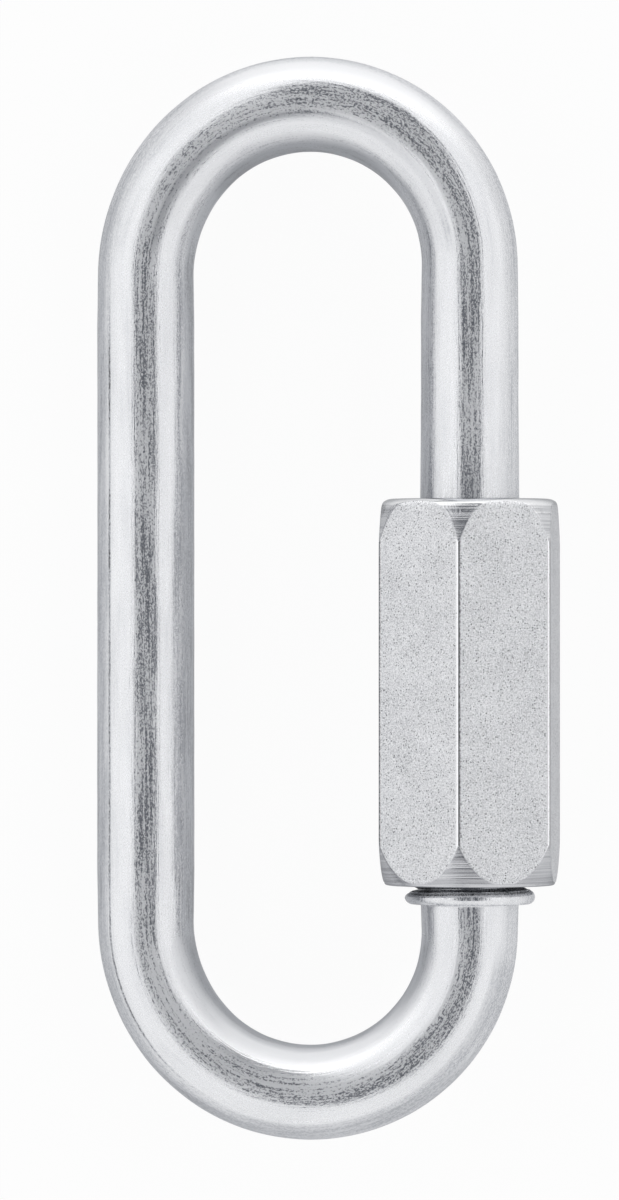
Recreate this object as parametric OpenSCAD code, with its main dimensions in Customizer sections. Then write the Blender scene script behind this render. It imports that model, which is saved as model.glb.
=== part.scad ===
// Long oval quick link: a bent steel rod, closed by a hexagonal screw sleeve.
// It lies as it comes to rest: the spine and one edge of the sleeve touch z = 0.
// Y runs along the link, X across it from the spine to the gate, Z up. Millimetres.

/* [Rod] */
// Diameter of the rod
rod_d = 8; // [6:0.1:10]
// Clear length inside the link, from crown to crown
inner_length = 73; // [64:0.5:90]
// Clear width inside the link, from leg to leg
inner_width = 18.8; // [15:0.1:24]

/* [Bows] */
// How much larger the bend radius is on the spine side of each bow
spine_ease = 1.2; // [0:0.1:3]
// Turn of the tight bend from the gate leg before the wider bend takes over
ease_angle = 140; // [120:1:160]
// Radius that the rod loses where it is stretched round the bows
bend_thinning = 0.06; // [0:0.01:0.2]
// Length over which a leg thins before it bends
taper_length = 4; // [1:0.5:8]
// Step between one stretch of rod and the thinner stretch that enters it
seam_step = 0.02; // [0.01:0.01:0.05]
// Length by which the thinner stretch enters
seam_lap = 0.3; // [0.1:0.1:0.5]

/* [Gate] */
// Straight rod between the lower bend and the collar
collar_rise = 2.2; // [1:0.1:5]
// Diameter of the collar that the sleeve closes on
collar_d = 10.8; // [10:0.1:13]
// Thickness of the collar, which is also the roundness of its rim
collar_t = 1.2; // [0.8:0.1:2]
// Clear gap between the two threaded ends
gate_opening = 13.5; // [10:0.1:16]
// Growth in radius of the upper leg where it enters the sleeve
leg_swell = 0.06; // [0:0.01:0.2]
// Length over which the upper leg grows
swell_length = 8; // [3:0.5:12]

/* [Thread] */
// Pitch diameter of the screw thread on both ends
thread_d = 9; // [8.8:0.05:9.6]
// Length of the thread on the lower end
stub_thread = 6.4; // [5:0.1:8]
// Length of the thread on the upper end
leg_thread = 9; // [7:0.1:11]
// Lead chamfer on the tip of each threaded end
tip_chamfer = 0.8; // [0.3:0.1:1.2]
// Clearance of the sleeve around the thread
thread_clearance = 0.05; // [0.02:0.01:0.2]

/* [Sleeve] */
// Size of the hexagon across its flats
sleeve_af = 14; // [13:0.1:17]
// Length of the sleeve
sleeve_length = 31.5; // [29:0.1:36]
// Gap between the sleeve and the collar when the link is closed
sleeve_gap = 0.35; // [0.1:0.05:1]
// Turn of the hexagon as the link lies, from a corner pointing straight up
sleeve_turn = -7.6; // [-30:0.1:30]
// Length of the upper turned end, along the hexagon's corners
upper_end_length = 3.75; // [2:0.05:5]
// Mean slope of the upper turned end from the sleeve's axis
upper_end_angle = 13; // [8:0.5:20]
// Crown radius of the upper turned end along its slope
upper_crown_r = 40; // [12:1:60]
// Roundness of the upper rim
upper_rim_r = 1.1; // [0.1:0.05:1.4]
// Length of the lower turned end, along the hexagon's corners
lower_end_length = 3.6; // [2:0.05:5]
// Mean slope of the lower turned end from the sleeve's axis
lower_end_angle = 18; // [8:0.5:20]
// Crown radius of the lower turned end along its slope
lower_crown_r = 15; // [12:1:60]
// Roundness of the lower rim
lower_rim_r = 0.25; // [0.1:0.05:1.4]
// Depth of the countersink at each mouth of the bore
countersink = 0.7; // [0.2:0.1:1.2]

/* [Hidden] */
$fn = 96;

rod_r = rod_d / 2;
thread_r = thread_d / 2;
bore_r = thread_r + thread_clearance;
leg_r = rod_r + leg_swell;
leg_end_r = rod_r - bend_thinning;
slack_r = leg_end_r - seam_step;
tight_r = slack_r - seam_step;

// How far the turning cuts reach past the corners, and past the end faces.
corner_margin = 0.1;
face_margin = 1;
// A rim's circle is this much larger than a tangent one, so that it meets both faces in an edge.
rim_growth = 1.02;

// The legs stand at -half_width and +half_width in the plane of the link.
half_width = (inner_width + rod_d) / 2;
// Two tangent bends make each bow: their radii add up to the spacing of the legs.
gate_bend_r = half_width - spine_ease * (1 + cos(ease_angle)) / 2;
spine_bend_r = gate_bend_r + spine_ease;
bend_x = half_width - gate_bend_r;
bend_y = inner_length / 2 - (gate_bend_r - tight_r);
ease_x = bend_x - spine_ease * cos(ease_angle);
ease_y = bend_y - spine_ease * sin(ease_angle);

// Heights along the gate, upwards from the lower bend.
collar_y = collar_rise - bend_y;
stub_y = collar_y + collar_t;
sleeve_y = stub_y + sleeve_gap;
stub_tip_y = stub_y + stub_thread;
leg_tip_y = stub_tip_y + gate_opening;
leg_thread_y = leg_tip_y + leg_thread;
sleeve_top_y = sleeve_y + sleeve_length;
swell_y = max(sleeve_top_y, leg_thread_y);
leg_taper = min(taper_length, (bend_y - swell_y) / 3);
swell_run = min(swell_length, (bend_y - swell_y) / 2);

// The link leans on its sleeve: the hexagon's lowest edge and the spine are level.
corner_r = sleeve_af / 2 / cos(30);
sleeve_height = corner_r * cos(sleeve_turn);
lean = asin((sleeve_height - rod_r) / (2 * half_width));
sleeve_half_x = max([for (k = [0:5]) corner_r * sin(sleeve_turn + 60 * k)]);
middle_x = (rod_r - sleeve_half_x) / 2;
middle_z = (rod_r + sleeve_height) / 2;
gate_x = middle_x + half_width * cos(lean);

// Carries a shape from the plane of the link to the way the link lies.
module lying() {
    translate([middle_x, 0, middle_z])
        rotate([0, -lean, 0])
            children();
}

// Stands a shape that was drawn along Z up along Y instead, from height y at x.
module along_y(x, y) {
    translate([x, y, 0])
        rotate([-90, 0, 0])
            children();
}

// One bend of the rod about the present origin.
module bend(radius, thickness_r, from, to) {
    rotate([0, 0, from])
        rotate_extrude(angle = to - from)
            translate([radius, 0])
                circle(r = thickness_r);
}

// Angle that the length of a seam takes up on a bend.
function lap_angle(radius) = seam_lap / radius * 180 / PI;

// The upper bow, from the gate leg over the crown to the spine.
module bow() {
    translate([bend_x, bend_y, 0])
        bend(gate_bend_r, tight_r, -lap_angle(gate_bend_r), ease_angle + lap_angle(gate_bend_r));
    translate([ease_x, ease_y, 0])
        bend(spine_bend_r, slack_r, ease_angle, 180 + lap_angle(spine_bend_r));
}

// The straight spine, turned about its axis, with a slight taper towards each bow.
module spine() {
    length = 2 * ease_y;
    taper = min(taper_length, length / 2 - 1);
    along_y(-half_width, -ease_y)
        rotate_extrude()
            polygon([
                [0, 0],
                [leg_end_r, 0],
                [rod_r, taper],
                [rod_r, length - taper],
                [leg_end_r, length],
                [0, length]
            ]);
}

// The lower end of the gate, turned about its axis: straight rod, collar, thread and tip.
module stub() {
    rim = collar_t / 2;
    rim_x = collar_d / 2 - rim;
    thread_end = collar_rise + collar_t + stub_thread;
    along_y(half_width, -bend_y)
        rotate_extrude() {
            polygon([
                [0, 0],
                [leg_end_r, 0],
                [rod_r, collar_rise],
                [rim_x, collar_rise],
                [rim_x, collar_rise + collar_t],
                [thread_r, collar_rise + collar_t],
                [thread_r, thread_end - tip_chamfer],
                [thread_r - tip_chamfer, thread_end],
                [0, thread_end]
            ]);
            translate([rim_x, collar_rise + rim])
                circle(r = rim);
        }
}

// The upper end of the gate, turned about its axis from its tip upwards: chamfer, thread,
// slight swelling and straight rod.
module leg() {
    thread_root = thread_r - leg_r;
    along_y(half_width, leg_tip_y)
        rotate_extrude()
            polygon([
                [0, 0],
                [thread_r - tip_chamfer, 0],
                [thread_r, tip_chamfer],
                [thread_r, leg_thread - thread_root],
                [leg_r, leg_thread],
                [leg_r, swell_y - leg_tip_y],
                [rod_r, swell_y + swell_run - leg_tip_y],
                [rod_r, bend_y - leg_taper - leg_tip_y],
                [leg_end_r, bend_y - leg_tip_y],
                [0, bend_y - leg_tip_y]
            ]);
}

// The bent rod in one piece: spine, two bows, and the two ends of the gate.
module link_body() {
    color([0.78, 0.79, 0.81])
        lying() {
            spine();
            bow();
            mirror([0, 1, 0])
                bow();
            stub();
            leg();
        }
}

// What the lathe takes off one end of the hexagon, about Z with the end face at z = 0:
// all that lies outside a crowned slope, and outside the round rim.
module turned_cut(length, slope, crown_r, rim) {
    face_r = corner_r - length * tan(slope);
    inward = sqrt(crown_r * crown_r - pow(length / cos(slope) / 2, 2));
    crown_x = (corner_r + face_r) / 2 - inward * cos(slope);
    crown_y = length / 2 + inward * sin(slope);
    rim_x = face_r + rim * tan(slope) - rim / cos(slope);
    rotate_extrude()
        difference() {
            translate([face_r - face_margin, -face_margin])
                square([corner_r + corner_margin - face_r + face_margin, crown_y + face_margin]);
            translate([crown_x, crown_y])
                circle(r = crown_r);
        }
    rotate_extrude()
        difference() {
            translate([rim_x, -face_margin])
                square([corner_r - rim_x, rim + face_margin]);
            translate([rim_x, rim])
                circle(r = rim * rim_growth);
        }
}

// The bore and its two countersinks, drawn up Z.
module bore() {
    translate([0, 0, -1])
        cylinder(h = sleeve_length + 2, r = bore_r);
    translate([0, 0, -1])
        cylinder(h = countersink + 1, r1 = bore_r + countersink + 1, r2 = bore_r);
    translate([0, 0, sleeve_length - countersink])
        cylinder(h = countersink + 1, r1 = bore_r, r2 = bore_r + countersink + 1);
}

// The long hexagonal nut that bridges the gate.
module screw_sleeve() {
    color([0.82, 0.82, 0.82])
        translate([gate_x, sleeve_y, sleeve_height])
            rotate([-90, 0, 0])
                difference() {
                    rotate([0, 0, -90 + sleeve_turn])
                        cylinder(h = sleeve_length, r = corner_r, $fn = 6);
                    turned_cut(lower_end_length, lower_end_angle, lower_crown_r, lower_rim_r);
                    translate([0, 0, sleeve_length])
                        mirror([0, 0, 1])
                            turned_cut(upper_end_length, upper_end_angle, upper_crown_r, upper_rim_r);
                    bore();
                }
}

link_body();
screw_sleeve();
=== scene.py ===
"""The looks of a long oval quick link: a zinc-plated rod and its hexagonal screw sleeve.

Both pieces are modelled in millimetres, in the plane of the link or about the sleeve's axis, and are
carried to the frame in metres. The link lies on the floor, leaning on its sleeve, and the camera looks
straight down on it.
"""

import math

import bpy
import numpy as np
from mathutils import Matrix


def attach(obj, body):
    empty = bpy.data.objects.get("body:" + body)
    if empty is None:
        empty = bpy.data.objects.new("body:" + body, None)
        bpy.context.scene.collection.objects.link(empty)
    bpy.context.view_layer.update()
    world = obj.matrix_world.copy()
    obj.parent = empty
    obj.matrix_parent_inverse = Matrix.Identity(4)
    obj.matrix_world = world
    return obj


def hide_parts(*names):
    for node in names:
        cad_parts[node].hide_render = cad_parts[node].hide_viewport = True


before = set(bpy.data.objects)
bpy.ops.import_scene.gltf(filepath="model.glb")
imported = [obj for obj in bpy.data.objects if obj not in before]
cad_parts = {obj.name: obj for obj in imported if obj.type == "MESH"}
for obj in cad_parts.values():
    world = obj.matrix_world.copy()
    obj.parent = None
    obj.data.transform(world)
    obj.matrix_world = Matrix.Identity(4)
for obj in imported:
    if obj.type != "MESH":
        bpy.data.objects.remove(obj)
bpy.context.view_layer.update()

MM = 0.001

# Sizes of the solids, as in the part's source
ROD_R = 4.0
LEG_END_R = 3.94
SLACK_R = 3.92
TIGHT_R = 3.90
SWELL_R = 4.06
INNER_LENGTH = 73.0
INNER_WIDTH = 18.8
SPINE_EASE = 1.2
EASE_ANGLE = math.radians(140)
COLLAR_RISE = 2.2
COLLAR_D = 10.8
COLLAR_T = 1.2
GATE_OPENING = 13.5
STUB_THREAD = 6.4
LEG_THREAD = 9.0
TIP_CHAMFER = 0.8
THREAD_R = 4.5
TAPER_LENGTH = 4.0
SWELL_LENGTH = 8.0
SLEEVE_AF = 14.0
SLEEVE_LENGTH = 31.5
SLEEVE_GAP = 0.35
SLEEVE_TURN = math.radians(-7.6)
LOWER_END = {"length": 3.6, "slope": math.radians(18), "crown_r": 15.0, "rim": 0.25}
UPPER_END = {"length": 3.75, "slope": math.radians(13), "crown_r": 40.0, "rim": 1.1}
BORE_R = 4.55
COUNTERSINK = 0.7

# Derived places, as in the part's source
HALF_WIDTH = INNER_WIDTH / 2 + ROD_R
GATE_BEND_R = HALF_WIDTH - SPINE_EASE * (1 + math.cos(EASE_ANGLE)) / 2
SPINE_BEND_R = GATE_BEND_R + SPINE_EASE
BEND = (HALF_WIDTH - GATE_BEND_R, INNER_LENGTH / 2 - (GATE_BEND_R - TIGHT_R))
EASE = (BEND[0] - SPINE_EASE * math.cos(EASE_ANGLE), BEND[1] - SPINE_EASE * math.sin(EASE_ANGLE))
COLLAR_Y = COLLAR_RISE - BEND[1]
STUB_Y = COLLAR_Y + COLLAR_T
STUB_TIP_Y = STUB_Y + STUB_THREAD
LEG_TIP_Y = STUB_TIP_Y + GATE_OPENING
LEG_THREAD_Y = LEG_TIP_Y + LEG_THREAD
SLEEVE_Y = STUB_Y + SLEEVE_GAP
SLEEVE_TOP_Y = SLEEVE_Y + SLEEVE_LENGTH
CORNER_R = SLEEVE_AF / 2 / math.cos(math.radians(30))
SLEEVE_HEIGHT = CORNER_R * math.cos(SLEEVE_TURN)
LEAN = math.asin((SLEEVE_HEIGHT - ROD_R) / (2 * HALF_WIDTH))
SLEEVE_HALF_X = max(CORNER_R * math.sin(SLEEVE_TURN + math.radians(60 * k)) for k in range(6))
MIDDLE_X = (ROD_R - SLEEVE_HALF_X) / 2
MIDDLE_Z = (ROD_R + SLEEVE_HEIGHT) / 2
GATE_X = MIDDLE_X + HALF_WIDTH * math.cos(LEAN)

# The screw thread, which the solids carry as plain pitch cylinders; its flank is given in pitches
PITCH = 1.5
CREST_R = 4.95
ROOT_R = 4.10
FLANK_END = 0.375
FLANK_WIDTH = 0.3125
THREAD_GAP = 0.09
RUNOUT_LEAD = 0.3
RUNOUT_SLOPE = 0.6

# Waves on the rod from the drawing die: depth, number round the rod, turn per millimetre along it, phase
DIE_WAVES = ((0.006, 2, 0.11, 1.0), (0.005, 3, -0.17, 0.0), (0.004, 1, 0.9, 0.0), (0.003, -2, 1.7, 0.0))
DIE_INSET = 0.018

# Turns over which the rod thins at the start of a bow, and thickens before the wider bend
THINNED_TURN = 0.35
EASING_TURN = 0.2

# The uneven collar: lobes of its rim in the same form, drop of its upper side, and the fillet below it
COLLAR_LOBES = ((0.05, 2, 0.0, 0.4), (0.03, 3, 0.0, 1.9), (0.02, 7, 0.0, 0.0))
COLLAR_INSET = 0.08
COLLAR_FACE_R = CREST_R + 0.05
COLLAR_FROM_R = ROD_R + 0.4
COLLAR_FULL_R = COLLAR_D / 2 - 0.3
COLLAR_TOP_FROM_Y = COLLAR_Y + 0.2
SAG_TO_EYE = 0.2
SAG_RIPPLE = 0.03
COLLAR_FILLET = 0.15

# Roundness of the sleeve's edges
CORNER_ROUND = 0.055
CREASE_ROUND = 0.03
RIM_ROUND = 0.004

# Fineness of the skins: points round the rod, and steps along it
ROD_COLUMNS = 112
THREAD_STEP = 0.1
STUB_STEP = 0.3
BEND_STEP = 0.45
LEG_STEP = 0.5
SPINE_STEP = 0.6

# Fineness of the skins: degrees from a corner of the sleeve to mid-flat, and rows along it
CORNER_STEPS = (0, 0.2, 0.45, 0.8, 1.3, 2, 3, 4.5, 6.5, 9, 11.5, 14, 16.5, 19, 21.5, 24, 26, 28, 30)
CREASE_STEPS = (0.03, 0.07, 0.13, 0.22, 0.35)
LOWER_END_ROWS = 20
UPPER_END_ROWS = 24
FLAT_ROWS = 22
BORE_ROWS = 212

# A radius beyond every other
FAR_R = 99.0


# Shared helpers

def smooth(low, high, value):
    """0 at low, 1 at high, held beyond them, and a smooth step between."""
    t = np.clip((value - low) / (high - low), 0.0, 1.0)
    return t * t * (3 - 2 * t)


def soft_min(a, b, width):
    """The smaller of two values, with the corner between them rounded."""
    return -width * np.logaddexp(-a / width, -b / width)


def waves(terms, angle, along):
    """The sum of sine waves round and along the rod."""
    return sum(depth * np.sin(count * angle + turn * along + phase) for depth, count, turn, phase in terms)


def thread_radius(y, angle):
    """Radius of the right-hand thread at height y, at an angle about the gate in the plane of the link."""
    phase = (y + PITCH * angle / (2 * math.pi)) / PITCH
    off_crest = np.abs((phase + 0.5) % 1.0 - 0.5)
    return ROOT_R + (CREST_R - ROOT_R) * np.clip((FLANK_END - off_crest) / FLANK_WIDTH, 0.0, 1.0)


def lying(points):
    """Carries points from the plane of the link to the way it lies, in metres."""
    x, y, z = points[..., 0], points[..., 1], points[..., 2]
    return MM * np.stack([
        MIDDLE_X + x * math.cos(LEAN) - z * math.sin(LEAN),
        y,
        MIDDLE_Z + x * math.sin(LEAN) + z * math.cos(LEAN),
    ], axis=-1)


def grid_faces(rows, columns, close_rows=False):
    """Quads of a grid of vertices whose columns go round."""
    faces = []
    for i in range(rows if close_rows else rows - 1):
        a, b = i * columns, (i + 1) % rows * columns
        faces += [(a + j, a + (j + 1) % columns, b + (j + 1) % columns, b + j) for j in range(columns)]
    return faces


def fan_faces(first, columns, middle):
    """Triangles from the middle of a flat tip to the ring of vertices that starts at first."""
    ring = [first + j for j in range(columns)]
    return [(middle, b, a) for a, b in zip(ring, ring[1:] + ring[:1])]


def make_piece(name, vertices, faces, attributes, flat_faces=0):
    """A mesh object with named point attributes, smooth-shaded but for its last few faces."""
    mesh = bpy.data.meshes.new(name)
    mesh.from_pydata([tuple(v) for v in vertices], [], faces)
    for key, values in attributes.items():
        is_vector = values.ndim > 1
        layer = mesh.attributes.new(key, "FLOAT_VECTOR" if is_vector else "FLOAT", "POINT")
        layer.data.foreach_set("vector" if is_vector else "value", values.astype(np.float32).ravel())
    is_smooth = [True] * (len(faces) - flat_faces) + [False] * flat_faces
    mesh.polygons.foreach_set("use_smooth", is_smooth)
    mesh.update()
    piece = bpy.data.objects.new(name, mesh)
    bpy.context.scene.collection.objects.link(piece)
    return piece


# The bent rod: one skin swept from the tip of the lower stub to the tip of the upper leg.
# A row of it is (x, y, dx, dy, radius, threaded), with (dx, dy) the direction of travel.

def straight(x, y_from, y_to, step):
    """Stations (x, y, dx, dy) along a leg."""
    count = max(2, int(abs(y_to - y_from) / step) + 1)
    turn = math.copysign(1.0, y_to - y_from)
    return [(x, y, 0.0, turn) for y in np.linspace(y_from, y_to, count)]


def bend(centre, radius, angle_from, angle_to):
    """Stations (x, y, dx, dy) along a bend, travelling with falling angle."""
    count = int(radius * abs(angle_to - angle_from) / BEND_STEP) + 1
    return [
        (centre[0] + radius * math.cos(a), centre[1] + radius * math.sin(a), math.sin(a), -math.cos(a))
        for a in np.linspace(angle_from, angle_to, count)
    ]


def bow_radius(turn):
    """Radius of the rod after a turn from the gate round a bow: thinnest over the crown."""
    return np.interp(turn, [0.0, THINNED_TURN, EASE_ANGLE - EASING_TURN, EASE_ANGLE, math.pi],
                     [LEG_END_R, TIGHT_R, TIGHT_R, SLACK_R, LEG_END_R])


def stub_rows():
    """Rows down the lower end of the gate: thread, collar, fillet and straight rod."""
    rows = []
    for x, y, dx, dy in straight(HALF_WIDTH, STUB_TIP_Y, STUB_Y, THREAD_STEP):
        rows.append((x, y, dx, dy, THREAD_R - TIP_CHAMFER + (STUB_TIP_Y - y), 1.0))
    rim = COLLAR_T / 2
    rim_x = COLLAR_D / 2 - rim
    collar = [(STUB_Y, r) for r in np.linspace(COLLAR_FACE_R, rim_x, 3)]
    for a in np.linspace(0.0, math.pi, 15)[1:]:
        collar.append((STUB_Y - rim + rim * math.cos(a), rim_x + rim * math.sin(a)))
    for a in np.linspace(0.0, math.pi / 2, 6):
        down, out = COLLAR_FILLET * (1 - math.cos(a)), COLLAR_FILLET * (1 - math.sin(a))
        collar.append((COLLAR_Y - down, ROD_R + out))
    rows += [(HALF_WIDTH, y, 0.0, -1.0, r, 0.0) for y, r in collar]
    for x, y, dx, dy in straight(HALF_WIDTH, COLLAR_Y - 2 * COLLAR_FILLET, -BEND[1], STUB_STEP):
        rows.append((x, y, dx, dy, np.interp(y, [-BEND[1], COLLAR_Y], [LEG_END_R, ROD_R]), 0.0))
    return rows


def bow_rows(side):
    """Rows round a bow: the lower one (-1) from the gate to the spine, the upper one (1) back again."""
    at_bend, at_ease = (BEND[0], side * BEND[1]), (EASE[0], side * EASE[1])
    if side < 0:
        stations = bend(at_bend, GATE_BEND_R, 0.0, -EASE_ANGLE)
        stations += bend(at_ease, SPINE_BEND_R, -EASE_ANGLE, -math.pi)[1:]
    else:
        stations = bend(at_ease, SPINE_BEND_R, math.pi, EASE_ANGLE)
        stations += bend(at_bend, GATE_BEND_R, EASE_ANGLE, 0.0)[1:]
    return [(x, y, dx, dy, bow_radius(math.atan2(abs(dx), -dy)), 0.0) for x, y, dx, dy in stations[1:]]


def spine_rows():
    """Rows up the straight spine, which tapers a little towards each bow."""
    rows = []
    for x, y, dx, dy in straight(-HALF_WIDTH, -EASE[1], EASE[1], SPINE_STEP)[1:]:
        rows.append((x, y, dx, dy, np.interp(EASE[1] - abs(y), [0, TAPER_LENGTH], [LEG_END_R, ROD_R]), 0.0))
    return rows


def leg_rows():
    """Rows down the upper end of the gate: taper, swelling, thread and tip."""
    rows = []
    heights = [SLEEVE_TOP_Y, SLEEVE_TOP_Y + SWELL_LENGTH, BEND[1] - TAPER_LENGTH, BEND[1]]
    radii = [SWELL_R, ROD_R, ROD_R, LEG_END_R]
    for x, y, dx, dy in straight(HALF_WIDTH, BEND[1], LEG_THREAD_Y + RUNOUT_LEAD, LEG_STEP)[1:]:
        rows.append((x, y, dx, dy, np.interp(y, heights, radii), 0.0))
    for x, y, dx, dy in straight(HALF_WIDTH, LEG_THREAD_Y, LEG_TIP_Y, THREAD_STEP):
        chamfer = THREAD_R - TIP_CHAMFER + (y - LEG_TIP_Y)
        runout = SWELL_R + (LEG_THREAD_Y - y) * RUNOUT_SLOPE
        rows.append((x, y, dx, dy, min(chamfer, runout), 1.0))
    return rows


# Marks on the rod's plating. The dull marks darken it as painted shade and the polish marks lighten it as
# painted highlight. Each pair says how far a point faces the named way, as a part of the radius,
# where the mark begins and where it is full.
INSIDE_DULL_SHADE = (0.6, 0.88)
LOWER_INSIDE_DULL_SHADE = (0.82, 1.0)
UNDER_CROWN = (0.2, 0.9)
UNDER_CROWN_GAIN = 0.1
OUTSIDE_DULL_SHADE = (0.65, 0.88)
OUTSIDE_BRIGHT = (0.9, 0.2)
OUTSIDE_GAIN = 0.65
SPINE_OUTSIDE_GAIN = 0.85
TOP_EDGE_DULL_SHADE = (0.85, 1.0)
TOP_EDGE_GAIN = 0.5
LOWER_RIM_DULL_SHADE = (0.61, 0.69)
LOWER_RIM_GAIN = 0.6
UPPER_BAND_FROM = (0.17, 0.23)
UPPER_BAND_TO = (0.44, 0.3)
UPPER_BAND_GAIN = 0.6
SHOULDER = (0.15, 0.6)
SHOULDER_GAIN = 0.35
POLISH_HIGHLIGHT_FROM = (0.35, 0.65)
LOWER_POLISH_HIGHLIGHT_FROM = (0.3, 0.55)
POLISH_HIGHLIGHT_TO = (0.98, 0.8)
SATIN_FROM = (0.5, 0.72)
LOWER_SATIN_FROM = (0.45, 0.7)

# The same for places along the rod, in millimetres
BENT_FROM_Y = (BEND[1] - 2, BEND[1] + 5)
BOW_FROM_Y = (BEND[1], BEND[1] + 3)
# Painted shade in the gap between collar and sleeve: its height, its reach and its share on the collar
GAP_SHADE_Y = STUB_Y + 0.2
GAP_SHADE_REACH = (1.0, 0.3)
COLLAR_GAP_SHADE = 0.4


def rod_marks(rows, angle, on_collar_top):
    """How the rod is plated and where painted shade and highlight lie, from 0 to about 1 for each mark."""
    x, y, dx, dy, _, threaded = (column[:, None] for column in rows.T)
    inside = -np.cos(angle)
    facing_y = dx * np.cos(angle)
    facing_left = dy * np.cos(angle)
    outwards = (dy ** 2 * math.cos(LEAN) + dx ** 2) * np.cos(angle) + dy * math.sin(LEAN) * np.sin(angle)
    on_upper, on_lower = smooth(*BOW_FROM_Y, y), smooth(*BOW_FROM_Y, -y)
    round_lower = on_lower * dx ** 2

    # Dull: painted shade on the bows' inner and outer sides, top edge, band, lower rim and shoulder; it also
    # evens chalk
    begin, full = (a + (b - a) * round_lower for a, b in zip(INSIDE_DULL_SHADE, LOWER_INSIDE_DULL_SHADE))
    inner = smooth(begin, full, -outwards) * (1 + UNDER_CROWN_GAIN * smooth(*UNDER_CROWN, -facing_y))
    outer = smooth(*OUTSIDE_DULL_SHADE, outwards) * smooth(*OUTSIDE_BRIGHT, facing_y)
    outer = outer * (OUTSIDE_GAIN + (SPINE_OUTSIDE_GAIN - OUTSIDE_GAIN) * dy)
    top_edge = TOP_EDGE_GAIN * on_upper * smooth(*TOP_EDGE_DULL_SHADE, facing_y)
    lower_rim = LOWER_RIM_GAIN * on_lower * smooth(*LOWER_RIM_DULL_SHADE, -inside)
    upper_band = smooth(*UPPER_BAND_FROM, inside) * smooth(*UPPER_BAND_TO, inside)
    upper_band = UPPER_BAND_GAIN * on_upper * upper_band
    shoulder = on_upper * smooth(*SHOULDER, facing_left)
    dull_and_shade = np.maximum.reduce([inner, outer, top_edge, lower_rim, upper_band, SHOULDER_GAIN * shoulder])

    # Polish: a painted highlight where the bows face the bright +Y side, and less chalk there
    polish_and_highlight = np.maximum(smooth(*POLISH_HIGHLIGHT_FROM, facing_y), round_lower * smooth(*LOWER_POLISH_HIGHLIGHT_FROM, inside))
    polish_and_highlight = polish_and_highlight * smooth(*POLISH_HIGHLIGHT_TO, np.abs(inside)) * (1 - shoulder)
    satin = np.maximum(smooth(*SATIN_FROM, np.abs(facing_y)), on_lower * smooth(*LOWER_SATIN_FROM, inside))
    # Painted shade in the gap under the sleeve, on the stub's thread and on the collar's top
    gap_shade = smooth(*GAP_SHADE_REACH, np.abs(y - GAP_SHADE_Y)) * (x > 0)
    gap_shade = gap_shade * np.where(threaded > 0.5, 1.0, COLLAR_GAP_SHADE * on_collar_top)
    bent = smooth(*BENT_FROM_Y, np.abs(y))
    return {"bent": bent, "gap_shade": gap_shade, "dull_and_shade": dull_and_shade, "polish_and_highlight": polish_and_highlight, "satin": satin}


def make_link_body():
    """The rod as one closed skin, with its threads, its collar and the waves of the drawing die."""
    rows = np.array(stub_rows() + bow_rows(-1) + spine_rows() + bow_rows(1) + leg_rows())
    x, y, dx, dy, r, threaded = (column[:, None] for column in rows.T)
    angle = np.linspace(0.0, 2 * math.pi, ROD_COLUMNS, endpoint=False)[None, :]
    step = np.hypot(np.diff(rows[:, 0]), np.diff(rows[:, 1]))
    along = np.concatenate([[0.0], np.cumsum(step)])[:, None]

    on_collar = smooth(COLLAR_FROM_R, COLLAR_FULL_R, r) * (1 - threaded)
    on_collar_top = on_collar * smooth(COLLAR_TOP_FROM_Y, STUB_Y, y)
    uneven = waves(DIE_WAVES, angle, along) - DIE_INSET
    uneven = uneven + on_collar * (waves(COLLAR_LOBES, angle, along) - COLLAR_INSET)
    radius = np.where(threaded > 0.5, np.minimum(thread_radius(y, angle), r), r + uneven)
    sag = SAG_TO_EYE * (1 - np.cos(angle)) / 2 + SAG_RIPPLE * (1 + np.sin(3 * angle))

    centre = np.stack(np.broadcast_arrays(x, y - on_collar_top * sag, 0.0), axis=-1)
    outward = np.stack([-dy, dx, 0 * dx], axis=-1)
    upward = np.array([0.0, 0.0, 1.0])
    ring = outward * np.cos(angle)[..., None] + upward * np.sin(angle)[..., None]
    points = centre + radius[..., None] * ring
    unrolled = np.broadcast_arrays(radius * np.cos(angle), radius * np.sin(angle), along)
    tips = np.array([[rows[row, 0], rows[row, 1], 0.0] for row in (0, -1)])
    unrolled_tips = np.array([[0.0, 0.0, along[row, 0]] for row in (0, -1)])

    attributes = {"rod_co": MM * np.vstack([np.stack(unrolled, axis=-1).reshape(-1, 3), unrolled_tips])}
    off_tips = np.ones_like(radius)
    off_tips[[0, -1]] = 0.0
    for key, values in rod_marks(rows, angle, on_collar_top).items():
        attributes[key] = np.append((values * off_tips).ravel(), [0.0, 0.0])

    vertices = np.vstack([lying(points).reshape(-1, 3), lying(tips)])
    first_tip, last_tip = radius.size, radius.size + 1
    faces = grid_faces(len(rows), ROD_COLUMNS)
    faces += fan_faces(0, ROD_COLUMNS, first_tip)
    faces += [face[::-1] for face in fan_faces(radius.size - ROD_COLUMNS, ROD_COLUMNS, last_tip)]
    return make_piece("plated_rod", vertices, faces, attributes, flat_faces=2 * ROD_COLUMNS)


# The sleeve: one closed skin about its own axis, outside, end faces and threaded bore

FIRST_CORNER = math.pi / 2 - SLEEVE_TURN
MOUTH_R = BORE_R + COUNTERSINK

# Marks on the sleeve's plating, in millimetres: from a corner, across a curved edge and at the upper rim.
# Beside each corner lie a painted highlight and a painted shade, and the upper rim has a painted highlight.
BRIGHT_EDGE = (0.3, 0.08)
CORNER_HIGHLIGHT_FROM = (0.0, 0.06)
CORNER_HIGHLIGHT_TO = (0.3, 0.14)
CORNER_SHADE_FROM = (0.03, 0.0)
CORNER_SHADE_TO = (0.24, 0.08)
TURNED_EDGE = (0.06, -0.06)
RIM_HIGHLIGHT = (0.75, 0.3)
RIM_HIGHLIGHT_R = (MOUTH_R, MOUTH_R + 0.5)


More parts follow.
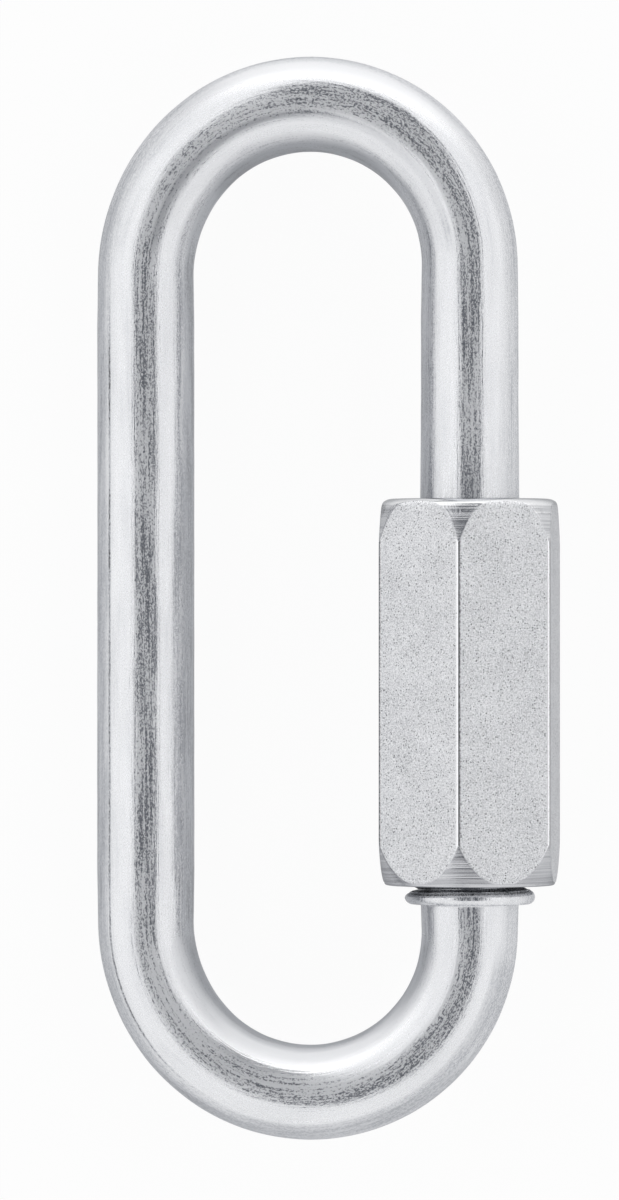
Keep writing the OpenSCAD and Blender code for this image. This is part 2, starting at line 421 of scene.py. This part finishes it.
def end_curve(end):
    """Heights and radii of a turned end, from its face past the hexagon's corners, and the face's radius."""
    length, slope, crown_r, rim = end["length"], end["slope"], end["crown_r"], end["rim"]
    face_r = CORNER_R - length * math.tan(slope)
    inward = math.sqrt(crown_r ** 2 - (length / math.cos(slope) / 2) ** 2)
    crown_x = (CORNER_R + face_r) / 2 - inward * math.cos(slope)
    crown_y = length / 2 + inward * math.sin(slope)
    rim_x = face_r + rim * math.tan(slope) - rim / math.cos(slope)
    on_rim = rim * (1 - np.cos(np.linspace(0, math.pi / 2, 40)))
    height = np.concatenate([on_rim, np.linspace(rim, crown_y, 160)[1:]])
    crowned = crown_x + np.sqrt(crown_r ** 2 - (crown_y - height) ** 2)
    rounded = rim_x + np.sqrt(np.maximum(rim ** 2 - (rim - height) ** 2, 0.0))
    return height, soft_min(crowned, np.where(height < rim, rounded, FAR_R), RIM_ROUND), rim_x


def hexagon_radius(angle):
    """Radius of the hexagon with rounded corners, at a polar angle from +X towards +Z."""
    off_face = (angle - FIRST_CORNER) % (math.pi / 3) - math.pi / 6
    near = SLEEVE_AF / 2 / np.cos(off_face)
    beside = SLEEVE_AF / 2 / np.cos(math.pi / 3 - np.abs(off_face))
    return soft_min(near, beside, CORNER_ROUND)


def sleeve_columns():
    """Polar angles round the sleeve, close together at the hexagon's corners."""
    steps = np.radians(CORNER_STEPS)
    side = np.concatenate([steps, math.pi / 3 - steps[-2:0:-1]])
    return np.concatenate([FIRST_CORNER + k * math.pi / 3 + side for k in range(6)])


def outer_half(end, angle, rows_on_end):
    """Heights, radii and turned share of the outside from one face to mid-length, and the face's radius."""
    height, radius, face_r = end_curve(end)
    hexagon = hexagon_radius(angle)
    crease = np.interp(hexagon, radius, height)
    run = np.concatenate([[0.0], np.cumsum(np.hypot(np.diff(height), np.diff(radius)))])
    run_to_crease = np.interp(crease, height, run)
    shares = np.sin(np.linspace(0, math.pi / 2, rows_on_end))
    rows = [np.interp(run_to_crease * share, run, height) for share in shares]
    rows += [crease + step for step in CREASE_STEPS]
    flat_length = SLEEVE_LENGTH / 2 - rows[-1]
    rows += [crease + CREASE_STEPS[-1] + flat_length * share for share in np.linspace(0, 1, FLAT_ROWS)[1:]]
    heights = np.array(rows)
    blank = np.interp(heights, height, radius, right=FAR_R)
    turned = smooth(*TURNED_EDGE, heights - crease)
    turned[0] = 1.0
    return heights, soft_min(blank, hexagon[None, :], CREASE_ROUND), turned, face_r


def make_screw_sleeve():
    """The long nut as one closed skin, carried to its place on the gate."""
    angle = sleeve_columns()
    low_y, low_r, low_turned, low_face = outer_half(LOWER_END, angle, LOWER_END_ROWS)
    top_y, top_r, top_turned, top_face = outer_half(UPPER_END, angle, UPPER_END_ROWS)
    ones = np.ones_like(angle)
    y, r, turned = [], [], []

    def add(height, radius, is_turned):
        y.append(height * ones)
        r.append(radius * ones)
        turned.append(is_turned * ones)

    for radius in np.linspace(MOUTH_R, low_face, 4)[:-1]:
        add(0.0, radius, 1.0)
    for k in range(len(low_y)):
        add(low_y[k], low_r[k], low_turned[k])
    for k in range(len(top_y) - 2, -1, -1):
        add(SLEEVE_LENGTH - top_y[k], top_r[k], top_turned[k])
    for radius in np.linspace(top_face, MOUTH_R, 4)[1:]:
        add(SLEEVE_LENGTH, radius, 1.0)
    for height in np.linspace(SLEEVE_LENGTH, 0.0, BORE_ROWS)[1:-1]:
        thread = thread_radius(SLEEVE_Y + height, angle - LEAN) + THREAD_GAP
        add(height, np.maximum(thread, MOUTH_R - min(height, SLEEVE_LENGTH - height)), 1.0)
    y, r, turned = np.array(y), np.array(r), np.array(turned)

    about_axis = np.stack([r * np.cos(angle), y, r * np.sin(angle)], axis=-1)
    points = about_axis + np.array([GATE_X, SLEEVE_Y, SLEEVE_HEIGHT])
    off_corner = ((angle - FIRST_CORNER + math.pi / 6) % (math.pi / 3) - math.pi / 6) * CORNER_R
    # Polished corner edges, and a painted highlight on the upper rim
    edge = smooth(*BRIGHT_EDGE, np.abs(off_corner)) * (1 - turned)
    edge = np.maximum(edge, smooth(*RIM_HIGHLIGHT, SLEEVE_LENGTH - y) * smooth(*RIM_HIGHLIGHT_R, r))
    corner_highlight = smooth(*CORNER_HIGHLIGHT_FROM, off_corner) * smooth(*CORNER_HIGHLIGHT_TO, off_corner)
    corner_shade = smooth(*CORNER_SHADE_FROM, off_corner) * smooth(*CORNER_SHADE_TO, -off_corner)
    faces = grid_faces(len(y), len(angle), close_rows=True)
    return make_piece("hex_sleeve", MM * points.reshape(-1, 3), faces, {
        "sleeve_co": MM * about_axis.reshape(-1, 3),
        "turned": turned.ravel(),
        "edge": edge.ravel(),
        "corner_highlight_and_shade": ((corner_highlight - corner_shade) * (1 - turned)).ravel(),
    })


# Materials

class Nodes:
    """A small helper that adds shader nodes to one material or world and links them by socket name."""

    # Sockets of a mix node: first value, second value and result
    MIX_SOCKETS = {"FLOAT": (2, 3, 0), "RGBA": (6, 7, 2)}

    def __init__(self, owner):
        owner.use_nodes = True
        self.tree = owner.node_tree

    def put(self, socket, value):
        if isinstance(value, bpy.types.NodeSocket):
            self.tree.links.new(value, socket)
        else:
            socket.default_value = value

    def fill(self, node, **inputs):
        for key, value in inputs.items():
            self.put(node.inputs[key.replace("_", " ")], value)
        return node

    def add(self, kind, settings=None, **inputs):
        node = self.tree.nodes.new(kind)
        for key, value in (settings or {}).items():
            setattr(node, key, value)
        return self.fill(node, **inputs)

    def attribute(self, name, output="Fac"):
        return self.add("ShaderNodeAttribute", {"attribute_name": name}).outputs[output]

    def vector_math(self, operation, a, b):
        node = self.add("ShaderNodeVectorMath", {"operation": operation})
        self.put(node.inputs[0], a)
        self.put(node.inputs[1], b)
        return node.outputs["Value" if operation == "DOT_PRODUCT" else "Vector"]

    def noise(self, vector, cells, detail=3.0, roughness=0.55):
        """Noise with so many cells per metre along each axis of the vector."""
        scaled = self.vector_math("MULTIPLY", vector, cells)
        node = self.add("ShaderNodeTexNoise", Vector=scaled, Scale=1.0, Detail=detail, Roughness=roughness)
        return node.outputs["Fac"]

    def math(self, operation, a, b=0.0, c=0.0, clamp=False):
        node = self.add("ShaderNodeMath", {"operation": operation, "use_clamp": clamp})
        for socket, value in zip(node.inputs, (a, b, c)):
            self.put(socket, value)
        return node.outputs[0]

    def total(self, *terms):
        """The sum of values, each times its weight."""
        result = self.math("MULTIPLY", *terms[0])
        for value, weight in terms[1:]:
            result = self.math("MULTIPLY_ADD", value, weight, result)
        return result

    def span(self, value, low, high, at_low=0.0, at_high=1.0):
        """A value carried from one range to another, and held at its ends."""
        node = self.add("ShaderNodeMapRange", Value=value)
        return self.fill(node, From_Min=low, From_Max=high, To_Min=at_low, To_Max=at_high).outputs[0]

    def fade(self, share, at_none, at_full):
        """From one value to another as a share goes from 0 to 1."""
        return self.span(share, 0.0, 1.0, at_none, at_full)

    def towards(self, value, target, share):
        """A value moved by a share of the way to a target."""
        return self.math("MULTIPLY_ADD", self.math("SUBTRACT", target, value), share, value)

    def mix(self, kind, share, first, second):
        node = self.add("ShaderNodeMix", {"data_type": kind}, Factor=share)
        first_socket, second_socket, result = self.MIX_SOCKETS[kind]
        self.put(node.inputs[first_socket], first)
        self.put(node.inputs[second_socket], second)
        return node.outputs[result]

    def ramp(self, value, stops):
        """A colour from stops of (place, red, green, blue)."""
        node = self.add("ShaderNodeValToRGB", Fac=value)
        elements = node.color_ramp.elements
        while len(elements) < len(stops):
            elements.new(0.5)
        for element, (place, *colour) in zip(elements, stops):
            element.position = place
            element.color = (*colour, 1.0)
        return node.outputs["Color"]

    def bump(self, height, distance):
        return self.add("ShaderNodeBump", Height=height, Distance=distance, Strength=1.0).outputs["Normal"]


# Cells per metre of the rod's textures, across it, through it and along it
ROD_DASHES = (11500, 11500, 1900)
ROD_STREAKS = (4200, 4200, 130)
ROD_GRAIN = (9400, 9400, 5400)
ROD_CLOUDS = (800, 800, 120)

# The die line: its place on the rod's section from the outside towards the front, how far it wanders and
# how wide it is, and where it begins and ends along the rod
DIE_LINE = math.radians(51.7)
DIE_LINE_WANDER = 0.08 * MM
DIE_LINE_WIDTH = (0.17 * MM, 0.06 * MM)
DIE_LINE_BEGINS = (34 * MM, 44 * MM)
DIE_LINE_ENDS = (106 * MM, 98 * MM)

# Sides of the rod: where a bow's inner side turns chalky, and where the rod's edges turn satin
CHALKY_SIDE = (0.7 * MM, -0.6 * MM)
SATIN_SIDE = (2.4 * MM, 3.4 * MM)

# Colours of the rod's plating, from painted shade in the gap under the sleeve to painted highlight
ROD_COLOURS = (
    (0.0, 0.12, 0.12, 0.125),
    (0.2, 0.44, 0.453, 0.48),
    (0.45, 0.70, 0.708, 0.73),
    (0.75, 0.84, 0.847, 0.867),
    (1.0, 0.96, 0.965, 0.98),
)
ROD_EDGE_TINT = (0.6, 0.61, 0.63, 1.0)
ROD_RELIEF = 0.02 * MM


def die_line(n, place, streaks, clouds):
    """How much the line that the die scored along the outside of the spine darkens the rod."""
    axes = n.add("ShaderNodeSeparateXYZ", Vector=place).outputs
    across = n.vector_math("DOT_PRODUCT", place, (math.sin(DIE_LINE), -math.cos(DIE_LINE), 0.0))
    wander = n.math("MULTIPLY", n.math("SUBTRACT", clouds, 0.5), DIE_LINE_WANDER)
    line = n.span(n.math("ABSOLUTE", n.math("ADD", across, wander)), *DIE_LINE_WIDTH)
    outer_side = n.span(axes["X"], 0.0, 0.5 * MM)
    for mask in (outer_side, n.span(axes["Z"], *DIE_LINE_BEGINS), n.span(axes["Z"], *DIE_LINE_ENDS)):
        line = n.math("MULTIPLY", line, mask)
    return n.math("MULTIPLY", line, n.span(streaks, 0.35, 0.6, 0.15, 0.5))


def zinc_rod():
    """Bright mirror-like zinc over drawn rod: chalky grain and lines, satin bows, painted shade and
    highlights.
    """
    material = bpy.data.materials.new("zinc_rod")
    n = Nodes(material)
    place = n.attribute("rod_co", "Vector")
    bent, gap_shade, dull_and_shade = n.attribute("bent"), n.attribute("gap_shade"), n.attribute("dull_and_shade")
    polish_and_highlight, satin = n.attribute("polish_and_highlight"), n.attribute("satin")
    dashes = n.noise(place, ROD_DASHES, roughness=0.6)
    streaks = n.noise(place, ROD_STREAKS, roughness=0.6)
    grain = n.noise(place, ROD_GRAIN, roughness=0.65)
    clouds = n.noise(place, ROD_CLOUDS)
    side = n.add("ShaderNodeSeparateXYZ", Vector=place).outputs["X"]

    # Chalk: lines along the straight rod, grain round the bows, more of it on their inner sides
    bow_inside = n.math("MULTIPLY", bent, n.span(side, *CHALKY_SIDE))
    chalk = n.total(
        (grain, n.fade(bent, 0.37, 0.5)),
        (dashes, 0.24),
        (streaks, n.fade(bent, 0.31, 0.18)),
        (clouds, 0.08),
        (bow_inside, n.span(streaks, 0.36, 0.62, 0.03, 0.08)),
    )
    chalk = n.span(chalk, 0.455, 0.53)
    chalk = n.towards(chalk, 0.4, n.math("MULTIPLY", dull_and_shade, 0.7))
    chalk = n.math("MULTIPLY", chalk, n.fade(polish_and_highlight, 1.0, 0.1))

    # Tone: cloudy, lighter where chalky, painted highlight where polished, painted shade where dull and at
    # the collar
    calm_clouds = n.towards(clouds, 0.5, n.math("MULTIPLY", dull_and_shade, 0.6))
    tone = n.total((calm_clouds, 0.5), (chalk, 0.3), (n.fade(polish_and_highlight, 0.2, 0.75), 1.0), (dull_and_shade, -0.4))
    gap_shade_patches = n.span(n.total((gap_shade, 1.0), (streaks, 1.0), (grain, 0.8)), 1.32, 1.55)
    tone = n.math("MULTIPLY", tone, n.fade(gap_shade_patches, 1.0, 0.2))
    tone = n.math("SUBTRACT", tone, die_line(n, place, streaks, calm_clouds))

    edge_satin = n.span(n.math("ABSOLUTE", side), *SATIN_SIDE, 0.0, 0.12)
    n.fill(
        n.tree.nodes["Principled BSDF"],
        Base_Color=n.ramp(tone, ROD_COLOURS),
        Specular_Tint=ROD_EDGE_TINT,
        Metallic=n.fade(chalk, 1.0, 0.4),
        Roughness=n.total((n.fade(chalk, 0.08, 0.18), 1.0), (edge_satin, 1.0), (bent, 0.03), (satin, 0.32)),
        Normal=n.bump(n.total((streaks, 1.0), (dashes, 0.4), (grain, 0.1)), ROD_RELIEF),
    )
    return material


# Cells per metre of the sleeve's textures, along X, its axis and Z
SLEEVE_GRIT = (8600, 8600, 8600)
SLEEVE_CLOUDS = (300, 300, 300)
SLEEVE_RINGS = (60, 6000, 60)
SLEEVE_PITS = 5000.0

# Colours of the sleeve's plating, on its flats from pits to the painted highlight by the corners and on its
# turned ends, of which the lower one is painted darker than the upper one, as shade and light
FLAT_COLOURS = ((0.17, 0.1, 0.102, 0.108), (0.4, 0.515, 0.522, 0.542), (0.59, 0.89, 0.896, 0.915))
END_COLOURS = ((0.34, 0.42, 0.426, 0.446), (0.5, 0.55, 0.557, 0.58), (0.85, 0.88, 0.886, 0.9))
END_SHADE_TO_LIGHT = (-0.07, 0.09)
SLEEVE_EDGE_TINT = (0.42, 0.427, 0.44, 1.0)
SLEEVE_RELIEF = 0.04 * MM


def zinc_sleeve():
    """Zinc over a gritty pitted hexagon, painted highlight and shade by its corners; fine rings on the
    turned ends.
    """
    material = bpy.data.materials.new("zinc_sleeve")
    n = Nodes(material)
    place = n.attribute("sleeve_co", "Vector")
    turned, edge, corner_highlight_and_shade = n.attribute("turned"), n.attribute("edge"), n.attribute("corner_highlight_and_shade")
    grit = n.noise(place, SLEEVE_GRIT, roughness=0.75)
    clouds = n.noise(place, SLEEVE_CLOUDS)
    rings = n.noise(place, SLEEVE_RINGS, detail=2.0, roughness=0.6)
    cells = n.add("ShaderNodeTexVoronoi", {"feature": "F1"}, Vector=place, Scale=SLEEVE_PITS).outputs
    depth = n.add("ShaderNodeSeparateColor", Color=cells["Color"]).outputs["Red"]
    depth = n.math("POWER", depth, 1.5)
    unpitted = n.math("SUBTRACT", 1.0, n.math("MULTIPLY", n.span(cells["Distance"], 0.36, 0.14), depth))

    # The painted highlight and shade beside the corners lighten and darken the flats
    gritty = n.total((grit, 0.84), (clouds, 0.1), (unpitted, 0.42), (corner_highlight_and_shade, 0.28))
    flats = n.ramp(n.math("SUBTRACT", gritty, 0.38), FLAT_COLOURS)
    along = n.add("ShaderNodeSeparateXYZ", Vector=place).outputs["Y"]
    # The lower end painted darker and the upper end lighter, as shade and light, and the rim's painted
    # highlight
    end_shade_to_light = n.span(along, 0.0, SLEEVE_LENGTH * MM, *END_SHADE_TO_LIGHT)
    ends = n.ramp(n.total((rings, 0.8), (clouds, 0.2), (edge, 0.3), (end_shade_to_light, 1.0)), END_COLOURS)
    flat_height = n.math("MULTIPLY", n.total((grit, 1.0), (unpitted, 0.5)), n.fade(edge, 1.0, 0.1))
    end_height = n.math("MULTIPLY", rings, n.fade(edge, 2.2, 0.2))
    n.fill(
        n.tree.nodes["Principled BSDF"],
        Base_Color=n.mix("RGBA", turned, flats, ends),
        Specular_Tint=SLEEVE_EDGE_TINT,
        Metallic=n.fade(n.math("MAXIMUM", turned, edge), 0.8, 0.95),
        Roughness=n.math("MULTIPLY", n.fade(turned, 0.44, 0.26), n.fade(edge, 1.0, 0.4)),
        Normal=n.bump(n.mix("FLOAT", turned, flat_height, end_height), SLEEVE_RELIEF),
    )
    return material


FLOOR_COLOUR = (0.9, 0.9, 0.9, 1.0)
FLOOR_GLOW = (1.0, 1.0, 1.0, 1.0)
FLOOR_GLOW_SHARE = 0.94


def white_floor():
    """Pale floor that reads as white and keeps the object's shadow, also where the metal mirrors it."""
    material = bpy.data.materials.new("white_floor")
    n = Nodes(material)
    pale = n.tree.nodes["Principled BSDF"]
    n.fill(pale, Base_Color=FLOOR_COLOUR, Roughness=0.9, Specular_IOR_Level=0.0)
    glow = n.add("ShaderNodeEmission", Color=FLOOR_GLOW, Strength=1.0)
    path = n.add("ShaderNodeLightPath").outputs
    seen = n.math("ADD", path["Is Camera Ray"], path["Is Glossy Ray"])
    seen = n.math("ADD", seen, path["Is Transmission Ray"], clamp=True)
    mix = n.add("ShaderNodeMixShader", Fac=n.math("MULTIPLY", seen, FLOOR_GLOW_SHARE))
    n.put(mix.inputs[1], pale.outputs[0])
    n.put(mix.inputs[2], glow.outputs[0])
    n.fill(n.tree.nodes["Material Output"], Surface=mix.outputs[0])
    return material


# Pieces

rod = make_link_body()
rod.data.materials.append(zinc_rod())
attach(rod, "link")
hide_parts("link_body")

sleeve = make_screw_sleeve()
sleeve.data.materials.append(zinc_sleeve())
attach(sleeve, "sleeve")
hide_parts("screw_sleeve")


# Stage: a white floor, in metres, under a soft studio dome with a long dark patch overhead

FLOOR_HALF = 3.0
FLOOR_CORNERS = ((-1, -1), (1, -1), (1, 1), (-1, 1))

floor_mesh = bpy.data.meshes.new("floor")
floor_points = [(sx * FLOOR_HALF, sy * FLOOR_HALF, 0.0) for sx, sy in FLOOR_CORNERS]
floor_mesh.from_pydata(floor_points, [], [(0, 1, 2, 3)])
floor = bpy.data.objects.new("floor", floor_mesh)
floor.data.materials.append(white_floor())
bpy.context.scene.collection.objects.link(floor)

# The dome's light at the horizon, higher up and in the patch, and how it grows towards +X and +Y
DOME_HORIZON = 1.05
DOME_BRIGHT = 1.15
DOME_BRIGHT_Z = 0.4
DOME_PATCH = 0.165
DOME_TOWARDS_X = -0.03
DOME_TOWARDS_Y = 0.12

# The patch, a rounded oblong on a level plane above: its reach from straight overhead, roundness and blur
PATCH_X = math.tan(math.radians(27))
PATCH_UP = math.tan(math.radians(55))
PATCH_DOWN = math.tan(math.radians(35))
PATCH_POWER = 4.0
PATCH_BLUR = 0.03
PATCH_COLOURS = ((0.0, 1.0, 1.0, 1.0), (1.0, 0.95, 1.0, 1.1))
LOWEST_Z = 0.02


def studio_dome():
    """World light by direction: bright all round, strongest towards +Y, and dark in the patch overhead."""
    world = bpy.data.worlds.new("studio_dome")
    n = Nodes(world)
    aim = n.add("ShaderNodeSeparateXYZ", Vector=n.add("ShaderNodeTexCoord").outputs["Generated"]).outputs
    up = n.math("MAXIMUM", aim["Z"], LOWEST_Z)
    across = n.math("DIVIDE", n.math("DIVIDE", aim["X"], up), PATCH_X)
    along = n.math("SUBTRACT", n.math("DIVIDE", aim["Y"], up), (PATCH_UP - PATCH_DOWN) / 2)
    along = n.math("DIVIDE", along, (PATCH_UP + PATCH_DOWN) / 2)
    reach = n.math("ADD", n.math("POWER", across, PATCH_POWER), n.math("POWER", along, PATCH_POWER))
    reach = n.math("POWER", reach, 1 / PATCH_POWER)
    in_patch = n.span(reach, 1 + PATCH_BLUR, 1 - PATCH_BLUR)
    growth = n.math("ADD", n.total((aim["X"], DOME_TOWARDS_X), (aim["Y"], DOME_TOWARDS_Y)), 1.0)
    dome = n.math("MULTIPLY", n.span(aim["Z"], 0.0, DOME_BRIGHT_Z, DOME_HORIZON, DOME_BRIGHT), growth)
    n.fill(
        n.tree.nodes["Background"],
        Color=n.ramp(in_patch, PATCH_COLOURS),
        Strength=n.towards(dome, DOME_PATCH, in_patch),
    )
    return world


bpy.context.scene.world = studio_dome()
bpy.context.scene.view_settings.view_transform = "Standard"


# Camera: straight above, far enough for the weak perspective of the photograph

PIXELS_PER_MM = 12.225
IMAGE_HEIGHT = 1200.0
SENSOR_WIDTH = 36.0
CAMERA_DISTANCE = 0.675
CAMERA_CLIP = (0.01, 20.0)
VIEW_CENTRE = (MIDDLE_X + 0.18, -0.147)

camera_data = bpy.data.cameras.new("camera")
camera_data.sensor_width = SENSOR_WIDTH
camera_data.lens = PIXELS_PER_MM * CAMERA_DISTANCE / MM * SENSOR_WIDTH / IMAGE_HEIGHT
camera_data.clip_start, camera_data.clip_end = CAMERA_CLIP
camera = bpy.data.objects.new("camera", camera_data)
camera.location = (VIEW_CENTRE[0] * MM, VIEW_CENTRE[1] * MM, MIDDLE_Z * MM + CAMERA_DISTANCE)
bpy.context.scene.collection.objects.link(camera)
bpy.context.scene.camera = camera
